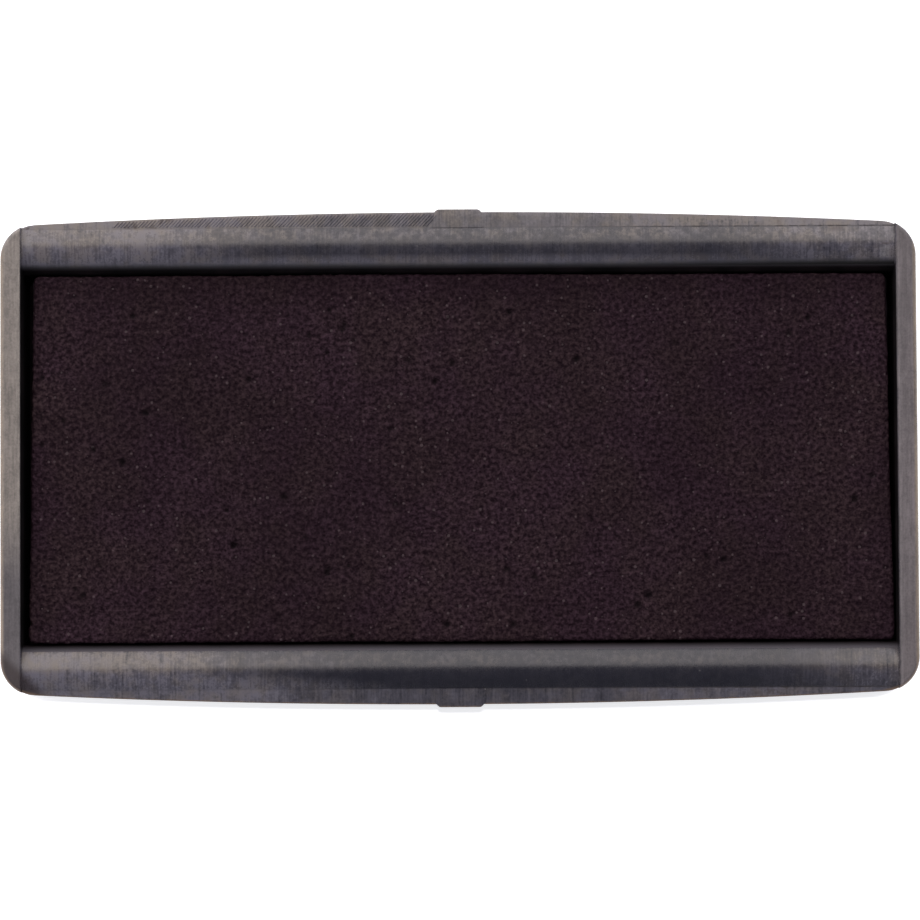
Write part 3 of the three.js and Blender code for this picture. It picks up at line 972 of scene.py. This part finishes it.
# A slab with rounded corners: a fine grid on top, folded down into the sides
def slabMesh(name, low, high, corner, edge, step, sideStep, slant, lift):
    halfX, halfY = (high.x - low.x) / 2, (high.y - low.y) / 2
    centreX, centreY = (high.x + low.x) / 2, (high.y + low.y) / 2
    countX, countY = round(2 * halfX / step), round(2 * halfY / step)
    bm = bmesh.new()
    grid = []
    for i in range(countX + 1):
        row = []
        for j in range(countY + 1):
            x, y = (2 * i / countX - 1) * halfX, (2 * j / countY - 1) * halfY
            dx, dy = abs(x) - (halfX - corner), abs(y) - (halfY - corner)
            if dx > 0 and dy > 0:
                reach = max(dx, dy) / math.hypot(dx, dy)
                x = math.copysign(halfX - corner + dx * reach, x)
                y = math.copysign(halfY - corner + dy * reach, y)
                inward = corner - max(dx, dy)
            else:
                inward = min(halfX - abs(x), halfY - abs(y))
            drop = 0
            if inward < edge:
                drop = edge - math.sqrt(max(edge ** 2 - (edge - inward) ** 2, 0))
            lean = -slant * y * x / halfX
            raised = lift * max(y, 0) / halfY * (0.75 - 0.25 * x / halfX)
            row.append(bm.verts.new((centreX + x + lean, centreY + y + raised, high.z - drop)))
        grid.append(row)
    for i in range(countX):
        for j in range(countY):
            bm.faces.new((grid[i][j], grid[i + 1][j], grid[i + 1][j + 1], grid[i][j + 1]))
    rim = [grid[i][0] for i in range(countX)] + [grid[countX][j] for j in range(countY)]
    rim += [grid[i][countY] for i in range(countX, 0, -1)] + [grid[0][j] for j in range(countY, 0, -1)]
    depth = high.z - edge - low.z
    rows = max(1, round(depth / sideStep))
    above = rim
    for k in range(1, rows + 1):
        below = [bm.verts.new((v.co.x, v.co.y, high.z - edge - depth * k / rows)) for v in rim]
        for i in range(len(rim)):
            j = (i + 1) % len(rim)
            bm.faces.new((above[i], below[i], below[j], above[j]))
        above = below
    bm.faces.new(list(reversed(above)))
    mesh = finishMesh(bm, name)
    mesh.polygons.foreach_set("use_smooth", [True] * len(mesh.polygons))
    return mesh


relief = dict(
    spread=(0.3, 0.7, -1.0, 1.0), cluster=(-0.4, 0.7, 0.3, 2.2), pitWidth=0.12, pitWidthRange=0.2, pitRagged=0.05,
    pitEdge=(0.4, 1.2, 1.0, 0.0), sunk=0.6, footHeight=0.01 * mm,
)


# Grain, pits and a gentle swell over a slab; the grain and the pits are kept as attributes for its material
def buildReliefTree():
    inputs = {"Bottom": 0.0, "Grain Size": 0.0004, "Grain Depth": 0.00008, "Pit Spacing": 0.002, "Pit Share": 0.2,
              "Pit Depth": 0.0002, "Swell Size": 0.012, "Swell Depth": 0.00006, "Seed": 0.0}
    tree, source, result = geometryTree("slabRelief", inputs)
    position = place(tree, "GeometryNodeInputPosition").outputs[0]
    normal = place(tree, "GeometryNodeInputNormal").outputs[0]

    def noise(size, detail, roughness):
        values = {"Vector": position, "W": source["Seed"], "Scale": calc("DIVIDE", 1.0, size),
                  "Detail": detail, "Roughness": roughness}
        return place(tree, "ShaderNodeTexNoise", values, noise_dimensions="4D").outputs[0]

    grain = ramp(noise(source["Grain Size"], 2.0, 0.6), *relief["spread"], smooth=False)
    swell = ramp(noise(source["Swell Size"], 1.0, 0.5), *relief["spread"])
    cells = place(tree, "ShaderNodeTexVoronoi", {"Vector": position, "W": source["Seed"],
                                                 "Scale": calc("DIVIDE", 1.0, source["Pit Spacing"])},
                  voronoi_dimensions="4D")
    chance = place(tree, "FunctionNodeSeparateColor", {0: cells.outputs["Color"]})
    clustered = times(source["Pit Share"], ramp(swell, *relief["cluster"]))
    chosen = calc("LESS_THAN", chance.outputs[0], clustered)
    width = plus(times(chance.outputs[1], relief["pitWidthRange"]), relief["pitWidth"])
    ragged = plus(cells.outputs["Distance"], times(grain, relief["pitRagged"]))
    pit = ramp(calc("DIVIDE", ragged, width), *relief["pitEdge"])
    pit = times(pit, chosen)

    offset = plus(times(grain, source["Grain Depth"]), times(swell, source["Swell Depth"]))
    offset = minus(offset, times(pit, source["Pit Depth"]))
    offset = minus(offset, times(source["Grain Depth"], relief["sunk"]))
    height = axesOf(position)["Z"]
    offFloor = calc("GREATER_THAN", height, plus(source["Bottom"], relief["footHeight"]))
    offset = times(offset, offFloor)
    push = place(tree, "ShaderNodeVectorMath", {0: normal, "Scale": offset}, operation="SCALE")

    geometry = source["Geometry"]
    for label, value in (("grain", grain), ("pit", pit)):
        stored = place(tree, "GeometryNodeStoreNamedAttribute", {"Geometry": geometry, "Name": label, "Value": value},
                       data_type="FLOAT", domain="POINT")
        geometry = stored.outputs[0]
    moved = place(tree, "GeometryNodeSetPosition", {"Geometry": geometry, "Offset": push.outputs[0]})
    closeTree(tree, source, result, moved.outputs[0])
    return tree


reliefTree = buildReliefTree()

foam = dict(
    corner=0.5, edge=0.25, step=0.165, sideStep=0.2,
    grainSize=0.42, grainDepth=0.05, pitSpacing=1.4, pitShare=0.75, pitDepth=0.13,
    swellSize=11, swellDepth=0.05, seed=4.0,
    dark=(0.0050, 0.0018, 0.0036), warmLight=(0.0385, 0.0234, 0.0265), light=(0.0385, 0.0210, 0.0300),
    fleck=(0.105, 0.080, 0.085), pit=(0.0016, 0.0007, 0.0012), slant=0.0145, lift=0.07,
    shares=dict(pores=0.55, fine=0.35, grain=0.1), contrast=1.5, brightness=0.93, cloudy=(0.0, 1.0, 0.8, 1.2),
    leftEnd=(-27.0, -35.0, 1.0, 1.3), upperRailShadow=(foamHigh.y / mm, foamHigh.y / mm - 4.0, 0.68, 1.0),
    fleckStrength=0.3, pitShadeStrength=0.9, roughness=0.75, specular=0.05, bumpDepth=0.06,
    roughBand=(0.0, 1.0, 0.65, 0.85), poreScale=2.9, poreBand=(0.3, 0.68), fineScale=5.6, fineBand=(0.3, 0.7),
)

felt = dict(
    corner=0.5, edge=0.2, step=0.5, sideStep=0.25, slant=0.0, lift=0.0,
    grainSize=0.6, grainDepth=0.06, pitSpacing=3, pitShare=0.1, pitDepth=0.08, swellSize=9, swellDepth=0.02, seed=9.0,
    dark=(0.005, 0.0035, 0.0048), light=(0.022, 0.017, 0.021), roughness=0.9, specular=0.15, bumpDepth=0.05,
    shares=dict(fibres=0.6, grain=0.2), cloudShare=0.3, roughBand=(0.2, 0.8, 0.8, 0.97),
)


def attribute(tree, name):
    return place(tree, "ShaderNodeAttribute", attribute_name=name, attribute_type="GEOMETRY").outputs["Fac"]


def buildFoamMaterial():
    material, tree, shader, where = newMaterial("inkedFoam", foam["roughness"], foam["specular"])
    grain, pit = attribute(tree, "grain"), attribute(tree, "pit")
    x, y, _ = axesOf(where)

    def noise(scale):
        return place(tree, "ShaderNodeTexNoise", {"Vector": where, "Scale": scale, "Detail": 1.0}).outputs["Fac"]

    pores = ramp(noise(foam["poreScale"]), *foam["poreBand"], smooth=False)
    fine = ramp(noise(foam["fineScale"]), *foam["fineBand"], smooth=False)
    cloud = useGroup(patches, where, Size=13.0, Low=0.3, High=0.7, Shift=2.0)
    fleck = useGroup(specks, where, Size=0.55, Share=0.36, Radius=0.22)
    share = weighted(dict(pores=pores, fine=fine, grain=grain), foam["shares"])
    share = times(calc("POWER", larger(share, 0.0), foam["contrast"]), foam["brightness"])
    share = times(share, ramp(cloud, *foam["cloudy"]), ramp(x, *foam["leftEnd"]))
    # painted shadow: the pad darkens towards its upper edge, under the upper rail
    share = calc("MULTIPLY", share, ramp(y, *foam["upperRailShadow"]), clamp=True)
    hue = useGroup(patches, where, Size=7.0, Low=0.38, High=0.62, Shift=7.0)
    tone = mixColour(share, foam["dark"], mixColour(hue, foam["warmLight"], foam["light"]))
    tone = mixColour(times(fleck, foam["fleckStrength"]), tone, foam["fleck"])
    # painted shade: the pits are darkened beyond the foam's darkest tone
    tone = mixColour(times(pit, foam["pitShadeStrength"]), tone, foam["pit"])
    dress(tree, shader, tone, ramp(fine, *foam["roughBand"]), pores, foam["bumpDepth"])
    return material


def buildFeltMaterial():
    material, tree, shader, where = newMaterial("inkedFelt", felt["roughness"], felt["specular"])
    grain = attribute(tree, "grain")
    fibres = useGroup(streaks, where, Pitch=0.12, Length=0.5)
    cloud = useGroup(patches, where, Size=6.0, Low=0.35, High=0.65, Shift=5.0)
    share = weighted(dict(fibres=fibres, grain=grain), felt["shares"])
    share = calc("ADD", share, times(cloud, felt["cloudShare"]), clamp=True)
    tone = mixColour(share, felt["dark"], felt["light"])
    dress(tree, shader, tone, ramp(fibres, *felt["roughBand"]), fibres, felt["bumpDepth"])
    return material


def buildSlab(name, low, high, sizes, material):
    mesh = slabMesh(name, low, high, sizes["corner"] * mm, sizes["edge"] * mm, sizes["step"] * mm,
                    sizes["sideStep"] * mm, sizes["slant"], sizes["lift"] * mm)
    piece = newObject(name, mesh)
    labels = ("Grain Size", "Grain Depth", "Pit Spacing", "Pit Depth", "Swell Size", "Swell Depth")
    values = inMetres(sizes, *labels)
    values.update({"Bottom": low.z, "Pit Share": sizes["pitShare"], "Seed": sizes["seed"], "Material": material})
    piece.data = runTree(piece, reliefTree, values)
    return piece


foamPiece = buildSlab("foamFace", foamLow, foamHigh, foam, buildFoamMaterial())
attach(foamPiece, "inking_face")
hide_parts("inking_foam")
print("foam is built,", len(foamPiece.data.polygons), "faces")

feltPiece = buildSlab("feltBlock", feltLow, feltHigh, felt, buildFeltMaterial())
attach(feltPiece, "cartridge")
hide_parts("reservoir_felt")
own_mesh(feltPiece)
print("felt is built,", len(feltPiece.data.polygons), "faces")


# The adhesive sheet keeps its CAD shape
film = dict(
    clean=(0.62, 0.56, 0.43), inked=(0.05, 0.035, 0.045), roughness=0.4, specular=0.5, bumpDepth=0.02,
    roughBand=(0.2, 0.8, 0.3, 0.55),
)


def buildFilmMaterial():
    material, tree, shader, where = newMaterial("adhesiveFilm", film["roughness"], film["specular"])
    soaked = useGroup(patches, where, Size=8.0, Low=0.45, High=0.6, Shift=8.0)
    mesh = useGroup(streaks, where, Pitch=0.5, Length=3.0, Shift=2.0)
    tone = mixColour(soaked, film["clean"], film["inked"])
    dress(tree, shader, tone, ramp(mesh, *film["roughBand"]), mesh, film["bumpDepth"])
    return material


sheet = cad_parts["adhesive_sheet"]
sheet.data.materials.clear()
sheet.data.materials.append(buildFilmMaterial())
print("adhesive sheet is painted")
